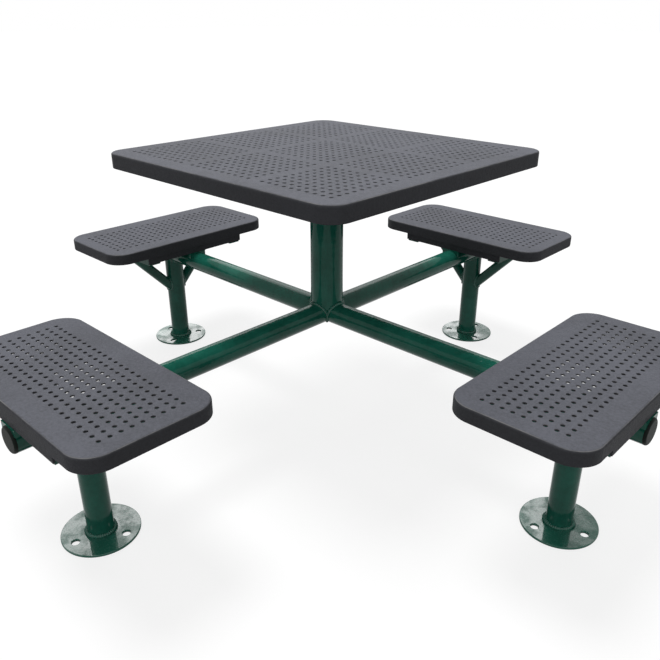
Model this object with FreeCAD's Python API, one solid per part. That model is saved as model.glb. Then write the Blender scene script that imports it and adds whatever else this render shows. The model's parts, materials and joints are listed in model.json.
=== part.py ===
"""A square outdoor table with four seats on one welded tube frame.

The origin lies on the floor under the centre column, with +Z up. The sides of the table run
along X and Y, and one arm goes out to each side: right (+X), back (+Y), left (-X), front (-Y).
All lengths are in millimetres.
"""
import FreeCAD, Part
import math
import os

from FreeCAD import Vector

# Table top
table_height = 762.0
table_side = 800.0
table_skirt = 38.0
table_corner = 50.0
table_border = 54.0

# Seats, each a pan whose long side runs across its arm
seat_height = 407.0
seat_length = 604.0
seat_width = 300.0
seat_skirt = 33.0
seat_corner = 58.0
seat_end_border = 45.0
seat_side_border = 55.0
seat_reach = 749.0

# Coated sheet that the pans are folded from, and its perforation
sheet = 4.0
bend_radius = 5.0
hole_diameter = 9.0
hole_pitch = 22.2

# Tubes of the welded frame: outer diameter and wall
column_diameter = 88.9
column_wall = 5.5
column_foot_rise = 8.0
arm_diameter = 60.3
arm_wall = 3.9
arm_set_back = 3.0
post_diameter = 60.3
post_wall = 3.9
post_trim = 10.0
brace_diameter = 32.0
brace_wall = 2.6
brace_foot_height = 177.0

# Round foot plates
flange_diameter = 178.0
flange_thickness = 6.0
flange_bolt_circle = 127.0
flange_hole = 19.0
flange_holes = 3
weld_leg = 7.0

# Seat rails: folded angles under the long edges of a seat
rail_wall = 4.0
rail_flange = 90.0
rail_length = 432.0
rail_leg_length = 370.0
rail_show = 21.0
rail_bend_extra = 1.0

# Saddles between the arms and the rails
saddle_web = 2.0
saddle_length = 10.0
saddle_drop = 14.0

# Cross bars at the heads of the braces
cross_bar_offset = 162.0
cross_bar_width = 40.0
cross_bar_height = 32.0
cross_bar_wall = 3.0

# Table bearers: channels under the plain bands of the top
bearer_offset = 122.0
bearer_height = 32.0
bearer_flange = 30.0
bearer_wall = 4.0
bearer_inset = 45.0

# Column top plate
plate_side = 290.0
plate_thickness = 8.0
plate_corner = 20.0

# Plugs in the outer ends of the arms
plug_face = 7.0
plug_round = 5.0
plug_stem = 22.0
plug_clearance = 0.2

# Bolts and nuts that hold the bearers on the top plate
top_bolt_diameter = 10.0
top_bolt_head = 17.0
top_bolt_head_height = 6.4
top_nut_height = 8.0
top_bolt_end = 2.0
top_bolt_offset = 90.0
bolt_clearance = 0.3

# How far a cutting tool runs past what it cuts
overrun = 5.0

# Worked out from the sizes above
seat_underside = seat_height - sheet
rail_bottom = seat_height - seat_skirt - rail_show
arm_axis = rail_bottom - saddle_web - arm_diameter / 2
arm_end = seat_reach + seat_width / 2 - arm_set_back
rail_outer = seat_width / 2 - sheet
rail_inner = rail_outer - rail_wall
cross_bar_axis = rail_bottom + rail_show / 2
cross_bar_bottom = cross_bar_axis - cross_bar_height / 2
bearer_bottom = table_height - sheet - bearer_height
plate_bottom = bearer_bottom - plate_thickness
column_bottom = arm_axis + column_foot_rise

AXIS_X = Vector(1, 0, 0)
AXIS_Y = Vector(0, 1, 0)
AXIS_Z = Vector(0, 0, 1)
ORIGIN = Vector(0, 0, 0)

sides = {"right": 0, "back": 90, "left": 180, "front": 270}


def block(x, y, z):
    """A box between the two ends of each range."""
    size = [abs(end - start) for start, end in (x, y, z)]
    corner = Vector(min(x), min(y), min(z))
    return Part.makeBox(*size, corner)


def rod(diameter, start, end):
    """A round bar between two points."""
    along = end - start
    return Part.makeCylinder(diameter / 2, along.Length, start, along)


def turned(shape, angle):
    """A copy of a shape, turned about the column."""
    copy = shape.copy()
    copy.rotate(ORIGIN, AXIS_Z, angle)
    return copy


def upright_edges(solid):
    """The edges of a block that stand along Z."""
    return [e for e in solid.Edges if abs(e.tangentAt(e.FirstParameter).z) > math.cos(math.radians(1))]


def top_edges(solid):
    """The edges that lie in the top face of a block."""
    top = solid.BoundBox.ZMax
    return [e for e in solid.Edges if math.isclose(e.BoundBox.ZMin, top, rel_tol=1e-6)]


def rounded_block(length, width, corner, depth, top):
    """A block centred on the Z axis, with round upright corners."""
    solid = block((-length / 2, length / 2), (-width / 2, width / 2), (top - depth, top))
    return solid.makeFillet(corner, upright_edges(solid))


def hole_rows(span, border, plain_bands=()):
    """Places of the rows of holes that fit in a span, with rows left out at its plain bands."""
    count = int((span - 2 * border) / hole_pitch) + 1
    first = -(count - 1) * hole_pitch / 2
    rows = [first + i * hole_pitch for i in range(count)]
    return [r for r in rows if all(abs(abs(r) - band) > hole_pitch / 2 for band in plain_bands)]


def perforated_field(rows_x, rows_y, top):
    """The flat middle of a pan, with its holes, and its half sizes."""
    half_x = max(rows_x) + hole_pitch / 2
    half_y = max(rows_y) + hole_pitch / 2
    low = top - sheet
    outline = Part.makePolygon([Vector(-half_x, -half_y, low), Vector(half_x, -half_y, low),
                                Vector(half_x, half_y, low), Vector(-half_x, half_y, low),
                                Vector(-half_x, -half_y, low)])
    circles = [Part.Wire(Part.makeCircle(hole_diameter / 2, Vector(x, y, low), -AXIS_Z))
               for x in rows_x for y in rows_y]
    face = Part.Face([outline] + circles)
    return face.extrude(AXIS_Z * sheet), half_x, half_y


def perforated_pan(length, width, corner, skirt, top, rows_x, rows_y):
    """A sheet folded down on all sides, with its top edge bent round, and its holes."""
    outside = rounded_block(length, width, corner, skirt, top)
    outside = outside.makeFillet(bend_radius, top_edges(outside))
    inside = rounded_block(length - 2 * sheet, width - 2 * sheet, corner - sheet, skirt - sheet, top - sheet)
    inside = inside.makeFillet(bend_radius - sheet, top_edges(inside))
    field, half_x, half_y = perforated_field(rows_x, rows_y, top)
    window = block((-half_x, half_x), (-half_y, half_y), (top - sheet, top))
    return outside.cut(inside).cut(window).fuse(field)


def make_table_top():
    rows = hole_rows(table_side, table_border, [bearer_offset])
    return perforated_pan(table_side, table_side, table_corner, table_skirt, table_height, rows, rows)


def make_seat():
    """A seat on the +X arm: its long side runs along Y."""
    rows_x = hole_rows(seat_width, seat_side_border)
    rows_y = hole_rows(seat_length, seat_end_border)
    seat = perforated_pan(seat_width, seat_length, seat_corner, seat_skirt, seat_height, rows_x, rows_y)
    seat.translate(AXIS_X * seat_reach)
    return seat


def channel(start, end):
    """A bearer channel along X between two places, its back towards -Y and its lips towards +Y."""
    half = bearer_flange / 2
    top = bearer_bottom + bearer_height
    body = block((start, end), (-half, half), (bearer_bottom, top))
    hollow = block((start, end), (bearer_wall - half, half), (bearer_bottom + bearer_wall, top - bearer_wall))
    return body.cut(hollow)


def top_bolt_places():
    """Where the bolts go through the top plate, in the middle of the bearers' lower lips."""
    across = bearer_offset + bearer_wall / 2
    return [Vector(x, y, 0) for x in (-top_bolt_offset, top_bolt_offset) for y in (-across, across)]


def make_bearers():
    """Two long channels, two ties between them and four outriggers beyond them."""
    reach = table_side / 2 - bearer_inset
    back = bearer_offset - bearer_flange / 2
    front = bearer_offset + bearer_flange / 2
    bearer = channel(-reach, reach)
    bearer.translate(AXIS_Y * bearer_offset)
    tie = channel(-back, back)
    tie.translate(AXIS_Y * bearer_offset)
    outrigger = channel(front, reach)
    outrigger.translate(AXIS_Y * bearer_offset)
    other_outrigger = channel(-reach, -front)
    other_outrigger.translate(AXIS_Y * bearer_offset)
    hole = top_bolt_diameter + 2 * bolt_clearance
    low = bearer_bottom - overrun
    high = bearer_bottom + bearer_wall + overrun
    drills = [rod(hole, p + AXIS_Z * low, p + AXIS_Z * high) for p in top_bolt_places()]
    return {
        "bearer_back": bearer.cut(drills),
        "bearer_front": turned(bearer, 180).cut(drills),
        "bearer_tie_left": turned(tie, 90),
        "bearer_tie_right": turned(tie, 270),
        "outrigger_back_left": turned(outrigger, 90),
        "outrigger_front_left": turned(other_outrigger, 90),
        "outrigger_back_right": turned(other_outrigger, 270),
        "outrigger_front_right": turned(outrigger, 270),
    }


def make_top_plate():
    """The square plate on the head of the column, drilled for the bearers."""
    plate = rounded_block(plate_side, plate_side, plate_corner, plate_thickness, bearer_bottom)
    hole = top_bolt_diameter + 2 * bolt_clearance
    low = plate_bottom - overrun
    high = bearer_bottom + overrun
    drills = [rod(hole, p + AXIS_Z * low, p + AXIS_Z * high) for p in top_bolt_places()]
    return plate.cut(drills)


def hexagon(across_flats, height, low):
    """A hexagon standing on the Z axis, from a height upwards."""
    corner = across_flats / math.sqrt(3)
    turns = [math.radians(60 * i) for i in range(7)]
    outline = Part.makePolygon([Vector(corner * math.cos(a), corner * math.sin(a), low) for a in turns])
    return Part.Face(outline).extrude(AXIS_Z * height)


def make_top_fasteners():
    """Bolts from below through the top plate and the bearers, and their nuts."""
    shank_end = bearer_bottom + bearer_wall + top_nut_height + top_bolt_end
    head = hexagon(top_bolt_head, top_bolt_head_height, plate_bottom - top_bolt_head_height)
    shank = rod(top_bolt_diameter, AXIS_Z * plate_bottom, AXIS_Z * shank_end)
    bolt = head.fuse(shank)
    nut = hexagon(top_bolt_head, top_nut_height, bearer_bottom + bearer_wall)
    nut = nut.cut(rod(top_bolt_diameter, AXIS_Z * bearer_bottom, AXIS_Z * shank_end))
    return Part.makeCompound([piece.translated(p) for p in top_bolt_places() for piece in (bolt, nut)])


def arm_axis_at(distance):
    """A point on the axis of the +X arm."""
    return Vector(distance, 0, arm_axis)


def arm_cylinder():
    """The full outside of the +X arm."""
    return rod(arm_diameter, arm_axis_at(0), arm_axis_at(arm_end))


def post_cylinder():
    """The full outside of the post under the +X arm, up to the arm's axis."""
    return rod(post_diameter, Vector(seat_reach, 0, flange_thickness), arm_axis_at(seat_reach))


def make_arm():
    """The tube of the +X arm, its inner end mitred to the two arms beside it."""
    bore = rod(arm_diameter - 2 * arm_wall, arm_axis_at(0), arm_axis_at(arm_end))
    corners = [ORIGIN, Vector(arm_end, -arm_end, 0), Vector(arm_end, arm_end, 0), ORIGIN]
    quarter = Part.Face(Part.makePolygon(corners)).extrude(AXIS_Z * table_height)
    return arm_cylinder().cut(bore).common(quarter)


def make_column():
    """The tube that stands astride the crossing of the arms and carries the top plate."""
    low = AXIS_Z * column_bottom
    high = AXIS_Z * plate_bottom
    tube = rod(column_diameter, low, high).cut(rod(column_diameter - 2 * column_wall, low, high))
    for angle in sides.values():
        tube = tube.cut(turned(arm_cylinder(), angle))
    return tube


def make_arm_plug():
    """The plug in the outer end of the +X arm: a domed face on a stem."""
    face = rod(arm_diameter, arm_axis_at(arm_end), arm_axis_at(arm_end + plug_face))
    rim = [e for e in face.Edges if math.isclose(e.BoundBox.XMin, arm_end + plug_face, rel_tol=1e-6)]
    face = face.makeFillet(plug_round, rim)
    stem_diameter = arm_diameter - 2 * arm_wall - 2 * plug_clearance
    stem = rod(stem_diameter, arm_axis_at(arm_end - plug_stem), arm_axis_at(arm_end))
    return face.fuse(stem)


def make_post():
    """The tube under the +X arm, its head shaped to the arm."""
    foot = Vector(seat_reach, 0, flange_thickness)
    head = Vector(seat_reach, 0, arm_axis - post_trim)
    tube = rod(post_diameter, foot, head).cut(rod(post_diameter - 2 * post_wall, foot, head))
    return tube.cut(arm_cylinder())


def make_flange():
    """The round plate under the post, with one bolt hole pointing outwards."""
    foot = Vector(seat_reach, 0, 0)
    plate = rod(flange_diameter, foot, foot + AXIS_Z * flange_thickness)
    drill = rod(flange_hole, foot - AXIS_Z * overrun, foot + AXIS_Z * (flange_thickness + overrun))
    drill.translate(AXIS_X * (flange_bolt_circle / 2))
    for i in range(flange_holes):
        cut = drill.copy()
        cut.rotate(foot, AXIS_Z, i * 360 / flange_holes)
        plate = plate.cut(cut)
    return plate


def make_foot_weld():
    """The weld between the post and its flange."""
    inner = post_diameter / 2
    low = flange_thickness
    outline = Part.makePolygon([Vector(inner, 0, low), Vector(inner + weld_leg, 0, low),
                                Vector(inner, 0, low + weld_leg), Vector(inner, 0, low)])
    ring = Part.Face(outline).revolve(ORIGIN, AXIS_Z, 360)
    ring.translate(AXIS_X * seat_reach)
    return ring


def make_brace():
    """A slim tube from the post up to the cross bar on the +Y side of the +X arm."""
    foot = Vector(seat_reach, 0, brace_foot_height)
    head = Vector(seat_reach, cross_bar_offset, cross_bar_bottom)
    beyond = head + (head - foot).normalize() * brace_diameter
    tube = rod(brace_diameter, foot, beyond).cut(rod(brace_diameter - 2 * brace_wall, foot, beyond))
    above = block((seat_reach - brace_diameter, seat_reach + brace_diameter),
                  (0, 2 * cross_bar_offset), (cross_bar_bottom, cross_bar_bottom + 2 * brace_diameter))
    return tube.cut(above).cut(post_cylinder())


def make_rail(end_side):
    """A folded angle under one long edge of the +X seat: end_side is 1 outside and -1 inside."""
    bend = bend_radius - sheet + rail_bend_extra
    top = seat_underside
    leg = rail_leg_length / 2
    solid = block((rail_outer - rail_flange, rail_outer), (-leg, leg), (rail_bottom, top))
    fold = [e for e in solid.Edges
            if e.BoundBox.XMin > rail_inner and e.BoundBox.ZMin > top - rail_wall]
    solid = solid.makeFillet(bend, fold)
    hollow = block((rail_outer - rail_flange, rail_inner), (-leg, leg), (rail_bottom, top - rail_wall))
    flange_edge = rail_outer - bend
    flange = block((rail_outer - rail_flange, flange_edge), (-rail_length / 2, rail_length / 2),
                   (top - rail_wall, top))
    rail = solid.cut(hollow).fuse(flange).removeSplitter()
    if end_side < 0:
        rail.rotate(ORIGIN, AXIS_Z, 180)
    rail.translate(AXIS_X * seat_reach)
    return rail


def make_saddle(end_side):
    """The small seat on the +X arm under a rail."""
    centre = seat_reach + end_side * (rail_outer - rail_wall / 2)
    half = saddle_length / 2
    side = arm_diameter / 2
    body = block((centre - half, centre + half), (-side, side),
                 (rail_bottom - saddle_web - saddle_drop, rail_bottom))
    beyond = rod(arm_diameter, arm_axis_at(0), arm_axis_at(arm_end + saddle_length))
    return body.cut(beyond)


def make_cross_bar(bar_side):
    """A box tube welded between the two rails of the +X seat."""
    half = cross_bar_width / 2
    high = cross_bar_height / 2
    wall = cross_bar_wall
    solid = block((-rail_inner, rail_inner), (-half, half), (-high, high))
    hollow = block((-rail_inner, rail_inner), (wall - half, half - wall), (wall - high, high - wall))
    bar = solid.cut(hollow)
    bar.translate(Vector(seat_reach, bar_side * cross_bar_offset, cross_bar_axis))
    return bar


def all_round(shapes):
    """The shapes of the +X side, repeated on all four sides, in one group."""
    return Part.makeCompound([turned(s, angle) for angle in sides.values() for s in shapes])


nodes = {"table_top": make_table_top(), "column_top_plate": make_top_plate()}
nodes.update(make_bearers())
nodes["top_bolts_and_nuts"] = make_top_fasteners()
nodes["centre_column"] = make_column()

ends = {"outer": 1, "inner": -1}
bars = {"1": 1, "2": -1}
side_pieces = {
    "arm": make_arm(),
    "arm_end_plug": make_arm_plug(),
    "seat_post": make_post(),
    "base_flange": make_flange(),
    "seat": make_seat(),
}
brace = make_brace()
for name, way in bars.items():
    side_pieces["brace_" + name] = brace if way > 0 else brace.mirror(ORIGIN, AXIS_Y)
    side_pieces["cross_bar_" + name] = make_cross_bar(way)
for name, way in ends.items():
    side_pieces["seat_rail_" + name] = make_rail(way)
for side, angle in sides.items():
    for name, shape in side_pieces.items():
        nodes[name + "_" + side] = turned(shape, angle)
nodes["foot_welds"] = all_round([make_foot_weld()])
nodes["arm_saddles"] = all_round([make_saddle(way) for way in ends.values()])

os.makedirs("parts", exist_ok=True)
for name, shape in nodes.items():
    shape.exportStep("parts/" + name + ".step")
    print(name, len(shape.Solids), "solids")
print(len(nodes), "nodes")
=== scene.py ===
# %% [markdown]
# A square outdoor table with a bench seat on each of its four arms. The tops are perforated sheet
# dipped in a thick dark plastic coating, and the frame is welded pipe under glossy green paint.
# The solids come in as a fixed frame. This lesson gives them their finishes, adds the welds, and
# swaps the plain pans for pans whose holes have the soft rims that a dipped coating leaves.

# %% Load the frame
import json
import math

import bmesh
import bpy
from mathutils import Matrix, Vector


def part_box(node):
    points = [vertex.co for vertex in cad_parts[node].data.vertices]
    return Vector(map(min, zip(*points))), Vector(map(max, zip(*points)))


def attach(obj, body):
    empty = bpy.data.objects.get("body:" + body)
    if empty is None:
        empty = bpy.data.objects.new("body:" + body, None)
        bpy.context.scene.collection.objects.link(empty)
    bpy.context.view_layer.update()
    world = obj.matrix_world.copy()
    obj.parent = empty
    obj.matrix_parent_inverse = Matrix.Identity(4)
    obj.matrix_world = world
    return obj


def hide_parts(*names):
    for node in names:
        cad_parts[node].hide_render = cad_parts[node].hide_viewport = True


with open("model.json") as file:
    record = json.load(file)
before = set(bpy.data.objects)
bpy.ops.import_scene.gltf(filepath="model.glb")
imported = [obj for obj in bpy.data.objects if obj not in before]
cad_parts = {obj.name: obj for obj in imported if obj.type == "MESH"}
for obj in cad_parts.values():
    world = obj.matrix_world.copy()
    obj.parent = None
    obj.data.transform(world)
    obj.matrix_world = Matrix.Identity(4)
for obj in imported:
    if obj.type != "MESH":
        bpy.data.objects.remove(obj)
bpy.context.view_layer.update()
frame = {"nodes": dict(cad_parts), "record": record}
nodes = frame["nodes"]

# %% [markdown]
# Every finish here is a small net of shader nodes. Written link by link, such nets are hard to read.
# A thin wrapper round one socket lets the sums be written as sums: adding two signals adds a Math
# node. One more method makes any other node from its type, its settings and its sockets. A Mix node
# keeps its sockets for numbers, vectors and colours in one list, so the colour ones go by their place.

# %% A socket that can be added and multiplied
MIX_FACTOR = 0
MIX_LOW = 6
MIX_HIGH = 7
MIX_COLOUR = 2
HEIGHT_OUTPUT = 2


class Signal:
    """One output of a shader net."""

    def __init__(self, socket):
        self.socket = socket
        self.tree = socket.id_data

    def node(self, kind, settings, sockets, output=0):
        """Any node: its settings are set first, then the values or links of its sockets."""
        made = self.tree.nodes.new(kind)
        for name, value in settings.items():
            if name == "stops":
                for stop, (place, shade) in zip(made.color_ramp.elements, value):
                    stop.position = place
                    stop.color = (shade, shade, shade, 1)
            else:
                setattr(made, name, value)
        for name, value in sockets.items():
            if isinstance(value, Signal):
                self.tree.links.new(value.socket, made.inputs[name])
            else:
                made.inputs[name].default_value = value
        return Signal(made.outputs[output])

    def maths(self, operation, first, second):
        """A Math node on two values, signals or plain numbers."""
        return self.node("ShaderNodeMath", {"operation": operation}, {0: first, 1: second})

    def __add__(self, other):
        return self.maths("ADD", self, other)

    def __sub__(self, other):
        return self.maths("SUBTRACT", self, other)

    def __mul__(self, other):
        return self.maths("MULTIPLY", self, other)

    def __rsub__(self, other):
        return self.maths("SUBTRACT", other, self)

    __radd__ = __add__
    __rmul__ = __mul__

    def height(self):
        """How high a place lies above the floor."""
        return self.node("ShaderNodeSeparateXYZ", {}, {0: self}, output=HEIGHT_OUTPUT)

    def noise(self, cells, detail=2.0, roughness=0.5):
        """Soft noise with this many cells to the metre, read at this place."""
        sockets = {"Vector": self, "Scale": cells, "Detail": detail, "Roughness": roughness}
        return self.node("ShaderNodeTexNoise", {}, sockets)

    def stretch(self, low, high, least=0.0, most=1.0):
        """The part of the signal between low and high, stretched to run from least to most."""
        return self.node("ShaderNodeValToRGB", {"stops": ((low, least), (high, most))}, {"Fac": self})

    def near(self, level, reach):
        """A signal that is 1 where this one is at a level, and falls to 0 at a reach from it."""
        apart = self.maths("ABSOLUTE", self - level, 0.0)
        return self.maths("MAXIMUM", 1 - apart * (1 / reach), 0.0)

    def tint(self, low, high):
        """A colour that goes from low to high with the signal. Either may be a signal itself."""
        low, high = [shade if isinstance(shade, Signal) else (*shade, 1) for shade in (low, high)]
        sockets = {MIX_FACTOR: self, MIX_LOW: low, MIX_HIGH: high}
        return self.node("ShaderNodeMix", {"data_type": "RGBA"}, sockets, output=MIX_COLOUR)

    def bump(self, strength, distance):
        """The signal as a height, for a Normal socket."""
        return self.node("ShaderNodeBump", {}, {"Height": self, "Strength": strength, "Distance": distance})


print("a signal offers", ", ".join(name for name in vars(Signal) if not name.startswith("_")))

# %% [markdown]
# A finish is one Principled shader. What is the same all over is set on its sockets, and what changes
# over the surface is linked to them. The patterns could follow a UV map, but the solids have none.
# Object coordinates need none, and as every piece sits at the origin, they are metres in the frame.

# %% A finish and what feeds it
SHADER = "Principled BSDF"


def new_finish(name, **constants):
    """A material with its constants set, and the place on the object as a signal."""
    material = bpy.data.materials.new(name)
    material.use_nodes = True
    shader = material.node_tree.nodes[SHADER]
    for socket, value in constants.items():
        shader.inputs[socket.replace("_", " ")].default_value = value
    coordinates = material.node_tree.nodes.new("ShaderNodeTexCoord")
    return material, Signal(coordinates.outputs["Object"])


def feed(material, **signals):
    """Links signals to the shader of a finish."""
    shader = material.node_tree.nodes[SHADER]
    for socket, signal in signals.items():
        material.node_tree.links.new(signal.socket, shader.inputs[socket.replace("_", " ")])
    print("finish", material.name, "nodes", len(material.node_tree.nodes))


table_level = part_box("table_top")[1].z
seat_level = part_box("seat_right")[1].z
flange_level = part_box("base_flange_right")[1].z
print("upper faces at", [round(level, 4) for level in (table_level, seat_level, flange_level)])

# %% [markdown]
# The pans and rails wear a thick thermoplastic coat: dark slate grey, faintly violet, with a fine
# pebbled skin that sagged a little while it was soft. A picture of such a skin would blur close by, so
# noise of three sizes makes the pebbles and the sag, and larger ones make dust and a slow drift of the
# grey, as the dip leaves it. The tops are painted a lighter, slightly bluer grey than the skirts: that
# is painted light from above and a painted sheen of the sky, and the skirts keep a painted shade. It
# follows the height of the two tops, with a soft limit in the bend, so it stays in place whichever way
# the object is seen.

# %% Grey of the coating, with painted light on the tops
# The first grey below is the coat under painted shade, on the skirts, rails and undersides; the second is
# the tops under painted light and a painted bluish sheen of the sky.
COAT_SHADED_GREY = (0.038, 0.039, 0.043)
COAT_LIT_TOP_GREY = (0.113, 0.117, 0.137)
PEBBLE_CELLS = 900.0
DIMPLE_CELLS = 380.0
SAG_CELLS = 150.0
DUST_CELLS = 45.0
DRIFT_CELLS = 6.0
TOP_LIGHT_DEPTH = 0.0016
TOP_LIGHT_LEAST = 0.62
DEEP_UNEVEN = 0.12
DRIFT_SHARE = 0.42
DUST_SHARE = 0.20
SAG_SHARE = 0.38
coating, place = new_finish("slate_coating", Specular_IOR_Level=0.11)
height = place.height()
pebbles = place.noise(PEBBLE_CELLS, detail=3.0, roughness=0.6)
dimples = place.noise(DIMPLE_CELLS)
sag = place.noise(SAG_CELLS, detail=3.0, roughness=0.6)
dust = place.noise(DUST_CELLS, detail=5.0, roughness=0.65)
drift = place.noise(DRIFT_CELLS, detail=4.0)
uneven = (DRIFT_SHARE * drift + DUST_SHARE * dust + SAG_SHARE * sag).stretch(low=0.40, high=0.60)
# Painted light: 1 on the two tops, which get the lit grey, and 0 below them, where the painted shade lies.
lit_tops = height.near(table_level, TOP_LIGHT_DEPTH) + height.near(seat_level, TOP_LIGHT_DEPTH)
top_light_and_tone = lit_tops * (TOP_LIGHT_LEAST + (1 - TOP_LIGHT_LEAST) * uneven) + DEEP_UNEVEN * uneven
grey = top_light_and_tone.tint(COAT_SHADED_GREY, COAT_LIT_TOP_GREY)
print("the fading ends", TOP_LIGHT_DEPTH, "m below the tops")

# %% [markdown]
# A little below the tops lie the shoulders of the bends and the rims of the holes. Hands and clothes
# rub there, so they are paler in patches, and smoother. The paler grey is also a painted highlight, for
# the light that these edges catch. A pointiness node could find such edges, but it reads the mesh and
# needs many small faces. The height is simpler, and a noise breaks it into patches.

# %% Wear, painted edge highlight and skin of the coating
# The pale grey below is rub wear and a painted highlight along the bends and hole rims at once.
COAT_RUB_AND_HIGHLIGHT = (0.200, 0.198, 0.200)
RUB_AND_HIGHLIGHT_CELLS = 14.0
RUB_AND_HIGHLIGHT_DEPTH = 0.0009
RUB_AND_HIGHLIGHT_REACH = 0.0008
COAT_ROUGHNESS = 0.60
ROUGHER_DRIFT = 0.10
ROUGHER_PEBBLES = 0.08
SMOOTHER_RUB = 0.15
PEBBLE_RELIEF = 0.35
DIMPLE_RELIEF = 0.25
shoulders = height.near(table_level - RUB_AND_HIGHLIGHT_DEPTH, RUB_AND_HIGHLIGHT_REACH) + height.near(seat_level - RUB_AND_HIGHLIGHT_DEPTH, RUB_AND_HIGHLIGHT_REACH)
patches = place.noise(RUB_AND_HIGHLIGHT_CELLS, detail=4.0, roughness=0.6)
# Paler patches on the shoulders: rub wear together with a painted edge highlight.
rub_and_highlight = shoulders * patches.stretch(low=0.40, high=0.62, least=0.15, most=0.85)
feed(coating,
     Base_Color=rub_and_highlight.tint(grey, COAT_RUB_AND_HIGHLIGHT),
     Roughness=COAT_ROUGHNESS + ROUGHER_DRIFT * drift + ROUGHER_PEBBLES * pebbles - SMOOTHER_RUB * rub_and_highlight,
     Normal=(PEBBLE_RELIEF * pebbles + DIMPLE_RELIEF * dimples + sag).bump(strength=0.60, distance=0.0018))

# %% [markdown]
# The frame is powder coated in a deep bottle green. Powder flows out glossy but not quite flat: it
# keeps a slow wave that is called orange peel. A plain gloss would give edges as straight as glass in
# the reflections. The wave makes them wobble, so it is a soft noise about a centimetre long, with a
# finer one on top.

# %% Paint of the frame
GREEN_DEEP = (0.0080, 0.086, 0.059)
GREEN_BRIGHT = (0.0150, 0.141, 0.099)
WAVE_CELLS = 70.0
CLOUD_CELLS = 9.0
FINE_WAVE_CELLS = 240.0
HAZE_CELLS = 260.0
CLOUD_SHARE = 0.7
FINE_WAVE_RELIEF = 0.25
PAINT_ROUGHNESS = 0.03
ROUGHER_CLOUD = 0.06
ROUGHER_HAZE = 0.03
paint, place = new_finish("bottle_green_paint", Specular_IOR_Level=0.14)
wave = place.noise(WAVE_CELLS)
cloud = place.noise(CLOUD_CELLS, detail=4.0)
depth = (CLOUD_SHARE * cloud + (1 - CLOUD_SHARE) * wave).stretch(low=0.35, high=0.65)
feed(paint,
     Base_Color=depth.tint(GREEN_DEEP, GREEN_BRIGHT),
     Roughness=PAINT_ROUGHNESS + ROUGHER_CLOUD * cloud + ROUGHER_HAZE * place.noise(HAZE_CELLS),
     Normal=(wave + FINE_WAVE_RELIEF * place.noise(FINE_WAVE_CELLS)).bump(strength=0.18, distance=0.002))

# %% [markdown]
# The foot flanges lie flat, so they mirror the sky. Their paint is the frame's green under a thick,
# glassy skin that is uneven: bright pools a few centimetres wide, where the skin is whole, lie beside
# dull green ones where feet and grit have worn it. Its colour here is lighter and greyer than the
# frame's: partly a painted sheen of the sky, partly grit. A second material could be painted on by
# hand, but the shader has a coat of its own, and noise can set its weight. The skin drew back from the
# cut edges and the bolt holes, so it is kept to the height of the upper face.

# %% Paint of the foot flanges
# Both greens below are lighter than the frame's paint, as a painted sheen of the sky; the greyer one also
# stands for grit.
FLANGE_LIT_GREEN = (0.012, 0.125, 0.085)
FLANGE_SHEEN_AND_GRIT_GREY = (0.034, 0.155, 0.112)
SKIN_DEPTH = 0.0012
PEEL_CELLS = 95.0
POOL_CELLS = 26.0
GRIT_CELLS = 210.0
PEEL_SHARE = 0.7
SKIN_LEAST = 0.30
SKIN_WORN_BY_GRIT = 0.35
FLANGE_ROUGHNESS = 0.22
ROUGHER_GRIT = 0.20
GRIT_RELIEF = 0.2
flange_paint, place = new_finish("flange_green_paint", Specular_IOR_Level=0.2, Coat_IOR=1.85,
                                 Coat_Roughness=0.05)
skin = place.height().near(flange_level, SKIN_DEPTH)
peel = place.noise(PEEL_CELLS, detail=3.0, roughness=0.55)
pools = place.noise(POOL_CELLS, detail=3.0, roughness=0.55).stretch(low=0.40, high=0.58)
grit = place.noise(GRIT_CELLS, detail=4.0, roughness=0.65).stretch(low=0.50, high=0.72)
feed(flange_paint,
     Base_Color=(PEEL_SHARE * peel + (1 - PEEL_SHARE) * grit).tint(FLANGE_LIT_GREEN, FLANGE_SHEEN_AND_GRIT_GREY),
     Roughness=FLANGE_ROUGHNESS + ROUGHER_GRIT * grit,
     Coat_Weight=skin * (SKIN_LEAST + (1 - SKIN_LEAST) * pools) * (1 - SKIN_WORN_BY_GRIT * grit),
     Normal=(peel + GRIT_RELIEF * grit).bump(strength=0.40, distance=0.002))

# %% [markdown]
# Powder gathers in the toe of a weld and melts into a thick, wet-looking film, so the beads catch
# more light than the tubes. They could share the paint of the frame, but then they would hardly show.
# They get the same green with a stronger gloss and a lumpier wave.

# %% Paint of the weld beads
LUMP_CELLS = 320.0
TINT_CELLS = 60.0
LUMP_TINT_SHARE = 0.6
BEAD_ROUGHNESS = 0.10
ROUGHER_LUMPS = 0.12
bead_paint, place = new_finish("weld_green_paint", Specular_IOR_Level=0.34)
lumps = place.noise(LUMP_CELLS, detail=3.0, roughness=0.6)
shades = place.noise(TINT_CELLS, detail=3.0)
depth = (LUMP_TINT_SHARE * lumps + (1 - LUMP_TINT_SHARE) * shades).stretch(low=0.35, high=0.65)
feed(bead_paint,
     Base_Color=depth.tint(GREEN_DEEP, GREEN_BRIGHT),
     Roughness=BEAD_ROUGHNESS + ROUGHER_LUMPS * lumps,
     Normal=lumps.bump(strength=0.35, distance=0.0015))

# %% [markdown]
# The plugs in the arm ends are moulded black plastic with a dull, finely sparked surface. A plain
# black would do from afar. The fine noise lets the light break up on them close by.

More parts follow.
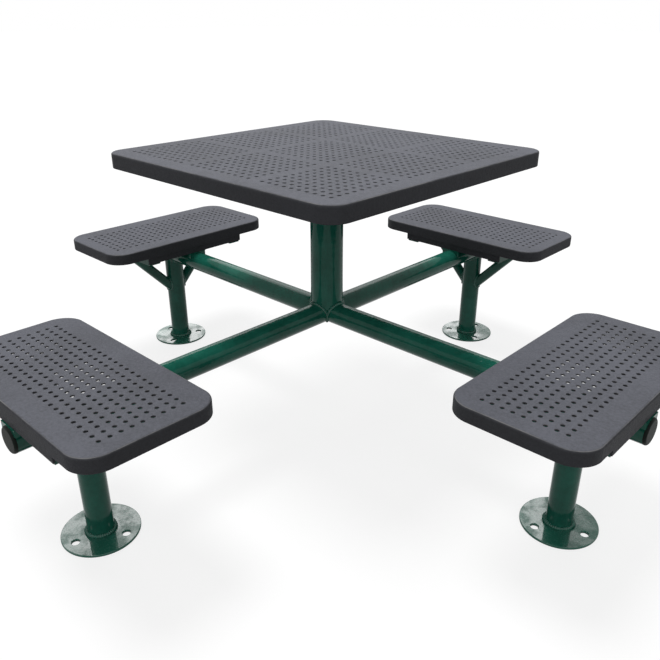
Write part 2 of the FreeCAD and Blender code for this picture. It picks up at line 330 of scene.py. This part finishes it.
# %% Plastic of the plugs
PLUG_DARK = (0.0035, 0.0055, 0.0045)
PLUG_WORN = (0.0085, 0.0125, 0.0105)
SPARK_CELLS = 1400.0
SCUFF_CELLS = 30.0
PLUG_ROUGHNESS = 0.42
ROUGHER_SPARK = 0.2
plug_plastic, place = new_finish("plug_plastic", Specular_IOR_Level=0.07)
spark = place.noise(SPARK_CELLS)
feed(plug_plastic,
     Base_Color=place.noise(SCUFF_CELLS, detail=4.0).tint(PLUG_DARK, PLUG_WORN),
     Roughness=PLUG_ROUGHNESS + ROUGHER_SPARK * spark,
     Normal=spark.bump(strength=0.25, distance=0.0004))

# %% [markdown]
# The bolts and nuts under the table are zinc plated: bright metal, clouded in grey patches. One noise
# moves both the grey and the gloss, because a clouded patch is paler and also duller.

# %% Zinc of the bolts
ZINC_DARK = (0.36, 0.37, 0.38)
ZINC_PALE = (0.62, 0.63, 0.64)
PATCH_CELLS = 420.0
PLATING_CELLS = 1500.0
ZINC_ROUGHNESS = 0.28
ROUGHER_PATCH = 0.24
zinc, place = new_finish("zinc_plate", Metallic=1.0)
patch = place.noise(PATCH_CELLS, detail=4.0, roughness=0.6)
feed(zinc,
     Base_Color=patch.tint(ZINC_DARK, ZINC_PALE),
     Roughness=ZINC_ROUGHNESS + ROUGHER_PATCH * patch,
     Normal=place.noise(PLATING_CELLS).bump(strength=0.15, distance=0.0003))

# %% [markdown]
# The solids keep their shape and only change their finish. They could be dressed one by one, but the
# packed record says which slot each node has, so one table from slot to finish dresses them all. Only
# the flanges get a paint of their own.

# %% Dress the solids
finishes = {"coated_sheet": coating, "frame_paint": paint, "end_plug": plug_plastic, "fastener": zinc}
for part in frame["record"]["subparts"]:
    finish = flange_paint if part["node"].startswith("base_flange") else finishes[part["material_slot"]]
    mesh = nodes[part["node"]].data
    mesh.materials.clear()
    mesh.materials.append(finish)

# %% [markdown]
# A dipped coating is thick, and it draws back from sharp edges, so each punched hole gets a soft
# round rim and the folded skirt a round lip. The solids have neither. A pan could be the solid with
# a bump, but rims are shape, so the pan is built anew. The wall of a hole and the skirt of a pan are
# both round walls. A ring of edges is extruded step by step, so that each step of such a wall is
# simply a radius and a height.

# %% Round walls
SHEET = 0.004
HOLE_RADIUS = 0.0045
RIM = 0.0011
HOLE_SIDES = 16


def linked(verts, kind):
    """The edges or faces at some points, each once."""
    return list(dict.fromkeys(g for v in verts for g in getattr(v, kind)))


def ring_wall(bm, place, sides, steps):
    """A round wall: a ring that is pushed on through steps, each a radius and a height."""
    radius, height = steps[0]
    x, y = place
    start = Matrix.Translation((x, y, height)) @ Matrix.Rotation(math.pi / sides, 4, "Z")
    ring = bmesh.ops.create_circle(bm, segments=sides, radius=radius, matrix=start)["verts"]
    edges = linked(ring, "link_edges")
    points = list(ring)
    for next_radius, next_height in steps[1:]:
        pushed = bmesh.ops.extrude_edge_only(bm, edges=edges)["geom"]
        verts = [g for g in pushed if isinstance(g, bmesh.types.BMVert)]
        edges = [g for g in pushed if isinstance(g, bmesh.types.BMEdge)
                 and all(v in verts for v in g.verts)]
        grow = next_radius / radius
        bmesh.ops.scale(bm, vec=(grow, grow, 1), space=Matrix.Translation((-x, -y, 0)), verts=verts)
        bmesh.ops.translate(bm, vec=(0, 0, next_height - height), verts=verts)
        radius, height = next_radius, next_height
        points += verts
    faces = linked(points, "link_faces")
    for face in faces:
        face.smooth = True
    return points + linked(points, "link_edges") + faces


def round_edge(radius, height, edge):
    """Three steps round an edge, from the flat to the wall: a negative edge goes inwards."""
    part = 1 - math.cos(math.pi / 4)
    return [(radius + edge, height), (radius + edge * part, height - abs(edge) * part),
            (radius, height - abs(edge))]


def hole_steps(top):
    """The way down a punched hole: round its rim, and straight through the sheet."""
    return round_edge(HOLE_RADIUS, top, RIM) + [(HOLE_RADIUS, top - SHEET)]


trial = bmesh.new()
ring_wall(trial, (0, 0), HOLE_SIDES, hole_steps(SHEET))
print("faces round one hole", len(trial.faces))
trial.free()

# %% [markdown]
# The holes stand in square rows. Two plain bands cross the table each way, over the frame that
# carries it, so the rows leave them out. Cutting every hole from a sheet by itself would be slow and
# rough, so one hole is made, copied into a row, and the row is copied across the pan.

# %% Rows of holes
HOLE_PITCH = 0.0222
PLAIN_BAND = 0.122
TABLE_HOLES = 32
SEAT_HOLES_ACROSS = 9
SEAT_HOLES_ALONG = 24


def row_places(count, plain_bands=()):
    """Places of holes along a centred row, without those on a plain band."""
    places = [(i - (count - 1) / 2) * HOLE_PITCH for i in range(count)]
    return [p for p in places if all(abs(abs(p) - band) > HOLE_PITCH / 2 for band in plain_bands)]


def copy_along(bm, geom, moves):
    """Copies of some geometry, each moved from the first, and the first with them."""
    group = list(geom)
    for move in moves:
        copy = bmesh.ops.duplicate(bm, geom=geom)["geom"]
        bmesh.ops.translate(bm, vec=move, verts=[g for g in copy if isinstance(g, bmesh.types.BMVert)])
        group += copy
    return group


def punch(bm, rows_x, rows_y, top):
    """The walls of all holes, each with a round rim."""
    hole = ring_wall(bm, (rows_x[0], rows_y[0]), HOLE_SIDES, hole_steps(top))
    row = copy_along(bm, hole, [Vector((x - rows_x[0], 0, 0)) for x in rows_x[1:]])
    copy_along(bm, row, [Vector((0, y - rows_y[0], 0)) for y in rows_y[1:]])


table_rows = row_places(TABLE_HOLES, [PLAIN_BAND])
seat_rows = row_places(SEAT_HOLES_ACROSS), row_places(SEAT_HOLES_ALONG)
print("holes in the table", len(table_rows) ** 2, "in a seat", len(seat_rows[0]) * len(seat_rows[1]))

# %% [markdown]
# The skirt is the edge of the sheet, folded down. In the coating its fold is a soft bend, and its
# lower edge a round lip. A bevel would have to find these edges in a finished pan. As a list of steps
# the section is simply written down: over the bend, down outside, round the lip and up again inside.

# %% Section of a skirt
BEND = 0.005
LIP = 0.0012
BEND_STEPS = 5
INNER_STEPS = 2


def bend(radius, height, size, count):
    """Steps round a quarter bend, from the flat above to the wall: the wall's radius, the flat's height."""
    turns = [math.pi / 2 * i / count for i in range(count + 1)]
    return [(radius - size * (1 - math.sin(t)), height - size * (1 - math.cos(t))) for t in turns]


def skirt_steps(corner, low, high):
    """The way down the outside of a skirt, round its lip and up the inside."""
    inner = corner - SHEET
    foot = low + LIP
    lip = [(r, low + foot - z) for r, z in reversed(bend(corner, foot, LIP, INNER_STEPS))]
    back = [(corner + inner - r, z) for r, z in reversed(lip)]
    up = reversed(bend(inner, high - SHEET, BEND - SHEET, INNER_STEPS))
    return bend(corner, high, BEND, BEND_STEPS) + lip + back + list(up)


TABLE_CORNER = 0.050
SEAT_CORNER = 0.058
print("steps in the section of a skirt", len(skirt_steps(SEAT_CORNER, 0, seat_level)))

# %% [markdown]
# A pan starts as a round cup with this skirt. The cup is pulled apart at its four quarters, which
# leaves round corners with straight sides between them, as a folded pan has. Then come the holes, and
# last the flat sheet is filled in between all the walls, above and below, so that the pan is closed.

# %% Build a pan
SKIRT_SIDES = 48
TOUCH = 1e-6
SMALL_FACE = 0.0004
UPRIGHT = 0.01


def open_edges(bm, height):
    """The free edges that lie at a height."""
    return [e for e in bm.edges if e.is_boundary and all(abs(v.co.z - height) < TOUCH for v in e.verts)]


def turn_outwards(bm):
    """Turns every face outwards. Moved points leave old normals behind, so these are made anew first."""
    bm.normal_update()
    bmesh.ops.recalc_face_normals(bm, faces=bm.faces)


def fill_flats(bm, top, bottom):
    """Fills the flat sheet above and below, round all the walls, and turns every face outwards."""
    for height, way in ((top, 1), (bottom, -1)):
        bmesh.ops.triangle_fill(bm, edges=open_edges(bm, height), use_beauty=True, normal=(0, 0, way))
    turn_outwards(bm)


def build_pan(low, high, corner, rows_x, rows_y):
    """A folded, perforated and dipped pan in the box of its solid, closed all round."""
    middle = (low + high) / 2
    middle.z = 0
    half = (high - low) / 2
    bm = bmesh.new()
    flat = math.cos(math.pi / SKIRT_SIDES)
    ring_wall(bm, (0, 0), SKIRT_SIDES, [(r / flat, z) for r, z in skirt_steps(corner, low.z, high.z)])
    quarters = {(x, y): [v for v in bm.verts if v.co.x * x > 0 and v.co.y * y > 0]
                for x in (-1, 1) for y in (-1, 1)}
    for (x, y), verts in quarters.items():
        bmesh.ops.translate(bm, vec=(x * (half.x - corner), y * (half.y - corner), 0), verts=verts)
    bm.normal_update()
    for face in bm.faces:
        face.smooth = abs(face.normal.z) > UPRIGHT or face.calc_area() < SMALL_FACE
    for edge in bm.edges:
        edge.smooth = len({abs(f.normal.z) < UPRIGHT for f in edge.link_faces}) == 1
    punch(bm, rows_x, rows_y, high.z)
    fill_flats(bm, high.z, high.z - SHEET)
    bmesh.ops.translate(bm, vec=middle, verts=bm.verts)
    return bm


table_pan = build_pan(*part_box("table_top"), TABLE_CORNER, table_rows, table_rows)
print("faces in the table's pan", len(table_pan.faces))

# %% [markdown]
# Each pan takes the place of its solid and rides on the frame like it. The two pairs of seats differ
# only in which way their rows run. The print shows whether a pan is closed: then it has no free edge,
# and its volume is positive.

# %% The table top and the four seats
LITRES = 1000


def add_piece(name, bm, finish, slot, *replaced):
    """A finished piece from a bmesh: it rides on the frame and may stand for solids."""
    free = sum(e.is_boundary for e in bm.edges)
    volume = bm.calc_volume(signed=True) * LITRES
    mesh = bpy.data.meshes.new(name)
    bm.to_mesh(mesh)
    bm.free()
    mesh.materials.append(finish)
    piece = bpy.data.objects.new(name, mesh)
    bpy.context.collection.objects.link(piece)
    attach(piece, "root")
    if replaced:
        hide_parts(*replaced)
    print(name, "faces", len(mesh.polygons), "free edges", free, "litres", round(volume, 3))


add_piece("dipped_table_top", table_pan, coating, "coated_sheet", "table_top")
for side in ("right", "left"):
    add_piece("dipped_seat_" + side, build_pan(*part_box("seat_" + side), SEAT_CORNER, *seat_rows),
              coating, "coated_sheet", "seat_" + side)
for side in ("back", "front"):
    add_piece("dipped_seat_" + side, build_pan(*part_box("seat_" + side), SEAT_CORNER, *seat_rows[::-1]),
              coating, "coated_sheet", "seat_" + side)

# %% [markdown]
# The foot flanges are cut plate under thick paint, which rounds every edge. The solids' meshes are
# loose triangles, where a bevel finds no clean edge, so the flanges are made in the same two steps as
# the pans: a round wall outside, three round walls for the bolts, and flats between them.

# %% Foot flanges
FLANGE_SIDES = 72
PLATE_EDGE = 0.0014
BOLTS = 3
BOLT_SIDES = 24
BOLT_CIRCLE = 0.0635
BOLT_RADIUS = 0.0095


def build_flange(low, high):
    """A round foot plate about the origin, with its first bolt hole at the +X side, and its place."""
    middle = (low + high) / 2
    radius = (high.x - low.x) / 2
    bm = bmesh.new()
    above = round_edge(radius, high.z, -PLATE_EDGE)
    below = [(r, low.z + high.z - z) for r, z in reversed(above)]
    ring_wall(bm, (0, 0), FLANGE_SIDES, above + below)
    for i in range(BOLTS):
        turn = math.tau * i / BOLTS
        place = BOLT_CIRCLE * math.cos(turn), BOLT_CIRCLE * math.sin(turn)
        steps = round_edge(BOLT_RADIUS, high.z, PLATE_EDGE) + [(BOLT_RADIUS, low.z)]
        ring_wall(bm, place, BOLT_SIDES, steps)
    fill_flats(bm, high.z, low.z)
    return bm, Vector((middle.x, middle.y, 0))


for quarter, side in enumerate(("right", "back", "left", "front")):
    bm, middle = build_flange(*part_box("base_flange_" + side))
    bmesh.ops.rotate(bm, matrix=Matrix.Rotation(quarter * math.pi / 2, 3, "Z"), verts=bm.verts)
    bmesh.ops.translate(bm, vec=middle, verts=bm.verts)
    add_piece("painted_flange_" + side, bm, flange_paint, "frame_paint", "base_flange_" + side)

# %% [markdown]
# The frame is welded, and a weld shows as a row of overlapping ripples under the paint. In the
# solids the tubes only butt. A curve with a round bevel would give a bead, but a smooth one. Here a
# small ring is spun into a torus of radius 1, and each of its points is then carried onto the line
# where two tubes meet, a little fatter at each ripple. A slower wave makes the bead lumpy, as a
# hand-held torch leaves it.

# %% A bead along a closed line
BEAD_SIDES = 8
RIPPLE_LENGTH = 0.0045
STEPS_PER_RIPPLE = 4
RIPPLE_SHARE = 0.18
LUMP_SHARE = 0.20
LUMP_WAVES = 5
SLOW_LUMP_WAVES = 3
SLOW_LUMP_START = 1
TRACE_STEPS = 90
SMALL_TURN = 0.01


def weld_bead(bm, path, size):
    """Adds a rippled bead along a closed line: path gives the point at each turn in radians."""
    trace = [Vector(path(math.tau * i / TRACE_STEPS)) for i in range(TRACE_STEPS + 1)]
    length = sum((b - a).length for a, b in zip(trace, trace[1:]))
    centre = sum(trace[:-1], Vector()) / TRACE_STEPS
    ripples = round(length / RIPPLE_LENGTH)
    old = len(bm.verts)
    stand = Matrix.Translation((1, 0, 0)) @ Matrix.Rotation(math.pi / 2, 4, "X")
    ring = bmesh.ops.create_circle(bm, segments=BEAD_SIDES, radius=size, matrix=stand)["verts"]
    edges = linked(ring, "link_edges")
    bmesh.ops.spin(bm, geom=ring + edges, cent=(0, 0, 0), axis=(0, 0, 1), angle=math.tau,
                   steps=ripples * STEPS_PER_RIPPLE, use_merge=True)
    bm.verts.ensure_lookup_table()
    for vert in bm.verts[old:]:
        turn = math.atan2(vert.co.y, vert.co.x)
        out, up = math.hypot(vert.co.x, vert.co.y) - 1, vert.co.z
        point = Vector(path(turn))
        along = (Vector(path(turn + SMALL_TURN)) - Vector(path(turn - SMALL_TURN))).normalized()
        away = point - centre
        away = (away - along * away.dot(along)).normalized()
        lump = math.sin(LUMP_WAVES * turn) * math.sin(SLOW_LUMP_WAVES * turn + SLOW_LUMP_START)
        fat = 1 + RIPPLE_SHARE * math.cos(ripples * turn) + LUMP_SHARE * lump
        vert.co = point + (away * out + along.cross(away) * up) * fat


def beads(size, *paths):
    """A fresh bmesh with one smooth bead on each line."""
    bm = bmesh.new()
    for path in paths:
        weld_bead(bm, path, size)
    turn_outwards(bm)
    for face in bm.faces:
        face.smooth = True
    return bm


print("ripples to the metre", round(1 / RIPPLE_LENGTH))

# %% [markdown]
# At the hub the four arms meet in mitres, and the column stands astride them. The lines of these
# welds could be read from the solids' meshes, but those are loose triangles. Each line lies on two
# round tubes at once, so a formula from their radii gives it, and the radii come from the frame.

# %% Welds of the hub
MITRE_BEAD = 0.0040
COLUMN_BEAD = 0.0056
arm_low, arm_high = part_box("arm_right")
arm_radius = (arm_high.z - arm_low.z) / 2
arm_height = (arm_high.z + arm_low.z) / 2
column_low, column_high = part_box("centre_column")
column_radius = (column_high.x - column_low.x) / 2


def mitre_line(turn):
    """Where two arms meet their neighbours, in a plane midway between them."""
    across = arm_radius * math.cos(turn)
    return across, across, arm_height + arm_radius * math.sin(turn)


def other_mitre_line(turn):
    """The same in the other such plane."""
    x, y, z = mitre_line(turn)
    return x, -y, z


def column_foot_line(turn):
    """Where the column stands astride the arms: up over each arm, and down between them."""
    quarter = math.pi / 2
    y = column_radius * math.sin(turn - quarter * round(turn / quarter))
    rise = math.sqrt(max(arm_radius ** 2 - y ** 2, 0))
    return (column_radius * math.cos(turn), column_radius * math.sin(turn),
            max(arm_height + rise, column_low.z))


def plate_line(turn):
    """Where the column meets its top plate."""
    return column_radius * math.cos(turn), column_radius * math.sin(turn), column_high.z


add_piece("mitre_welds", beads(MITRE_BEAD, mitre_line, other_mitre_line), bead_paint, "frame_paint")
add_piece("column_welds", beads(COLUMN_BEAD, column_foot_line, plate_line), bead_paint, "frame_paint")

# %% [markdown]
# Each post is welded to its arm above and to its flange below. All four are alike, so the beads of
# the right one are made, and a spin that duplicates repeats them at each quarter turn. The bead at the
# foot is fat, and it is lifted a little so that it lies on the flange and not in the floor.

# %% Welds of the posts
HEAD_BEAD = 0.0050
FOOT_BEAD = 0.0060
FOOT_LIFT = 0.0026
SIDES = 4
post_low, post_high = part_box("seat_post_right")
post_radius = (post_high.y - post_low.y) / 2
post_place = (post_high.x + post_low.x) / 2


def post_head_line(turn):
    """Where the right post meets the underside of its arm."""
    y = post_radius * math.sin(turn)
    depth = math.sqrt(max(arm_radius ** 2 - y ** 2, 0))
    return post_place + post_radius * math.cos(turn), y, min(arm_height - depth, post_high.z)


def post_foot_line(turn):
    """Where the right post stands on its flange."""
    return (post_place + post_radius * math.cos(turn), post_radius * math.sin(turn),
            post_low.z + FOOT_LIFT)


def on_all_sides(bm, mirrored=False):
    """Mirrors what is there across the arm if asked, and repeats it at each quarter turn."""
    if mirrored:
        bmesh.ops.mirror(bm, geom=bm.verts[:] + bm.edges[:] + bm.faces[:], axis="Y", merge_dist=0)
    copies = SIDES - 1
    bmesh.ops.spin(bm, geom=bm.verts[:] + bm.edges[:] + bm.faces[:], cent=(0, 0, 0), axis=(0, 0, 1),
                   angle=math.tau * copies / SIDES, steps=copies, use_duplicate=True)
    turn_outwards(bm)
    return bm


add_piece("post_head_welds", on_all_sides(beads(HEAD_BEAD, post_head_line)), bead_paint, "frame_paint")
add_piece("post_foot_welds", on_all_sides(beads(FOOT_BEAD, post_foot_line)), bead_paint, "frame_paint",
          "foot_welds")

# %% [markdown]
# Two slim braces rise from each post to the bars under the seat. Their welds are slanting cuts of a
# round tube: at the foot by the post, at the head by the flat bar. One brace is worked out along its
# own middle line, which leaves the middle of the post at the height BRACE_FOOT. Its two beads are then
# mirrored across the arm and repeated on all sides.

# %% Welds of the braces
BRACE_BEAD = 0.0036
BRACE_FOOT = 0.177
bar_low, bar_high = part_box("cross_bar_1_right")
bar_place = (bar_low.y + bar_high.y) / 2
brace_low, brace_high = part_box("brace_1_right")
brace_radius = (brace_high.x - brace_low.x) / 2
brace_way = Vector((0, bar_place, bar_low.z - BRACE_FOOT)).normalized()
brace_side = brace_way.cross(Vector((1, 0, 0)))


def brace_point(turn, reach):
    """A point on the skin of the right seat's first brace, this far along it."""
    skin = Vector((1, 0, 0)) * math.cos(turn) + brace_side * math.sin(turn)
    return Vector((post_place, 0, BRACE_FOOT)) + brace_way * reach + skin * brace_radius


def brace_foot_line(turn):
    """Where that brace meets the post."""
    across = math.sqrt(post_radius ** 2 - (brace_radius * math.cos(turn)) ** 2)
    return brace_point(turn, (across - brace_radius * math.sin(turn) * brace_side.y) / brace_way.y)


def brace_head_line(turn):
    """Where that brace meets the cross bar."""
    rise = bar_low.z - BRACE_FOOT - brace_radius * math.sin(turn) * brace_side.z
    return brace_point(turn, rise / brace_way.z)


add_piece("brace_welds", on_all_sides(beads(BRACE_BEAD, brace_foot_line, brace_head_line), mirrored=True),
          bead_paint, "frame_paint")

# %% [markdown]
# A plain white floor lies under the feet. A box with walls would cast their colour on the object, so
# the floor is one sheet that runs far out, a hair below the flanges.

# %% Floor
FLOOR_HALF = 40.0
FLOOR_DROP = 0.0005
bm = bmesh.new()
bmesh.ops.create_grid(bm, x_segments=1, y_segments=1, size=FLOOR_HALF,
                      matrix=Matrix.Translation((0, 0, -FLOOR_DROP)))
floor_mesh = bpy.data.meshes.new("studio_floor")
bm.to_mesh(floor_mesh)
bm.free()
floor = bpy.data.objects.new("studio_floor", floor_mesh)
bpy.context.collection.objects.link(floor)
print("floor", FLOOR_HALF * 2, "m wide")

# %% [markdown]
# A floor that is white only by its lamps would need so much light that the object bleached. So for
# what the camera sees, in the open or in a glossy surface, part of the floor's white is its own. It
# fades into the white background and still keeps the soft shadow of the table. The world does the
# same: white to look at, and a lower plain level as a light.

# %% White of the floor and the background
FLOOR_GREY = (0.22, 0.22, 0.22, 1)
FLOOR_OWN_WHITE = (0.80, 0.80, 0.80)
BLACK = (0, 0, 0)
WHITE = (1, 1, 1)
LIGHT_LEVEL = (0.19, 0.19, 0.19)


def seen_by_eye(tree):
    """A signal that is 1 for rays that come from the camera, a gloss or a glass."""
    path = tree.nodes.new("ShaderNodeLightPath")
    camera, glossy, clear = [Signal(path.outputs[name])
                             for name in ("Is Camera Ray", "Is Glossy Ray", "Is Transmission Ray")]
    return camera.maths("MAXIMUM", camera.maths("MAXIMUM", camera, glossy), clear)


floor_finish = new_finish("white_floor", Specular_IOR_Level=0.0, Roughness=0.9,
                          Base_Color=FLOOR_GREY, Emission_Strength=1.0)[0]
feed(floor_finish, Emission_Color=seen_by_eye(floor_finish.node_tree).tint(BLACK, FLOOR_OWN_WHITE))
floor_mesh.materials.append(floor_finish)

world = bpy.data.worlds.new("studio")
bpy.context.scene.world = world
world.use_nodes = True
background = world.node_tree.nodes["Background"]
seen = seen_by_eye(world.node_tree).tint(LIGHT_LEVEL, WHITE)
world.node_tree.links.new(seen.socket, background.inputs["Color"])
print("world nodes", len(world.node_tree.nodes))

# %% [markdown]
# Three soft lights stand round the table. The sky light is high and a little to the left: it lights
# the tops, leaves the skirts dim and draws thin streaks along the tubes. The front light is very wide
# and fills the skirts and posts. The rim light comes from behind and mirrors in the flat flanges.
# Lamps near the object would light one seat more than another, so all three are suns, and each is
# given the width of a softbox.

# %% Lights
SKY_FROM = (-0.250, -0.050, 0.967)
SKY_STRENGTH = 1.9
SKY_SPREAD = 22.0
FRONT_FROM = (0.450, -0.550, 0.700)
FRONT_STRENGTH = 1.0
FRONT_SPREAD = 110.0
RIM_FROM = (-0.600, 0.500, 0.625)
RIM_STRENGTH = 0.85
RIM_SPREAD = 44.0


def soft_light(name, towards, strength, spread):
    """A sun that shines from a direction and is some degrees wide."""
    lamp = bpy.data.lights.new(name, "SUN")
    lamp.energy = strength
    lamp.angle = math.radians(spread)
    holder = bpy.data.objects.new(name, lamp)
    holder.rotation_mode = "QUATERNION"
    holder.rotation_quaternion = Vector(towards).to_track_quat("Z", "Y")
    bpy.context.collection.objects.link(holder)
    print("light", name, strength)


soft_light("sky_light", SKY_FROM, SKY_STRENGTH, SKY_SPREAD)
soft_light("front_light", FRONT_FROM, FRONT_STRENGTH, FRONT_SPREAD)
soft_light("rim_light", RIM_FROM, RIM_STRENGTH, RIM_SPREAD)

# %% [markdown]
# The camera stands where the photograph was taken: beside the corner between two seats, a little
# above the table. A camera that tracks a point is easy to aim, but place, turn and lens were worked
# out together from the edges of the table and seats, so they are set as they came out.

# %% Camera
CAMERA_PLACE = (1.2403, -1.2870, 1.0858)
CAMERA_YAW = 43.66
CAMERA_PITCH = 24.87
CAMERA_LENS = 37.57
camera_data = bpy.data.cameras.new("camera")
camera_data.lens = CAMERA_LENS
camera = bpy.data.objects.new("camera", camera_data)
camera.location = CAMERA_PLACE
camera.rotation_euler = (math.radians(90 - CAMERA_PITCH), 0, math.radians(CAMERA_YAW))
bpy.context.collection.objects.link(camera)
bpy.context.scene.camera = camera
bpy.context.scene.view_settings.view_transform = "Standard"
print("camera at", CAMERA_PLACE)

# %% [markdown]
# The pans, flanges and beads stay within the solids' reach.
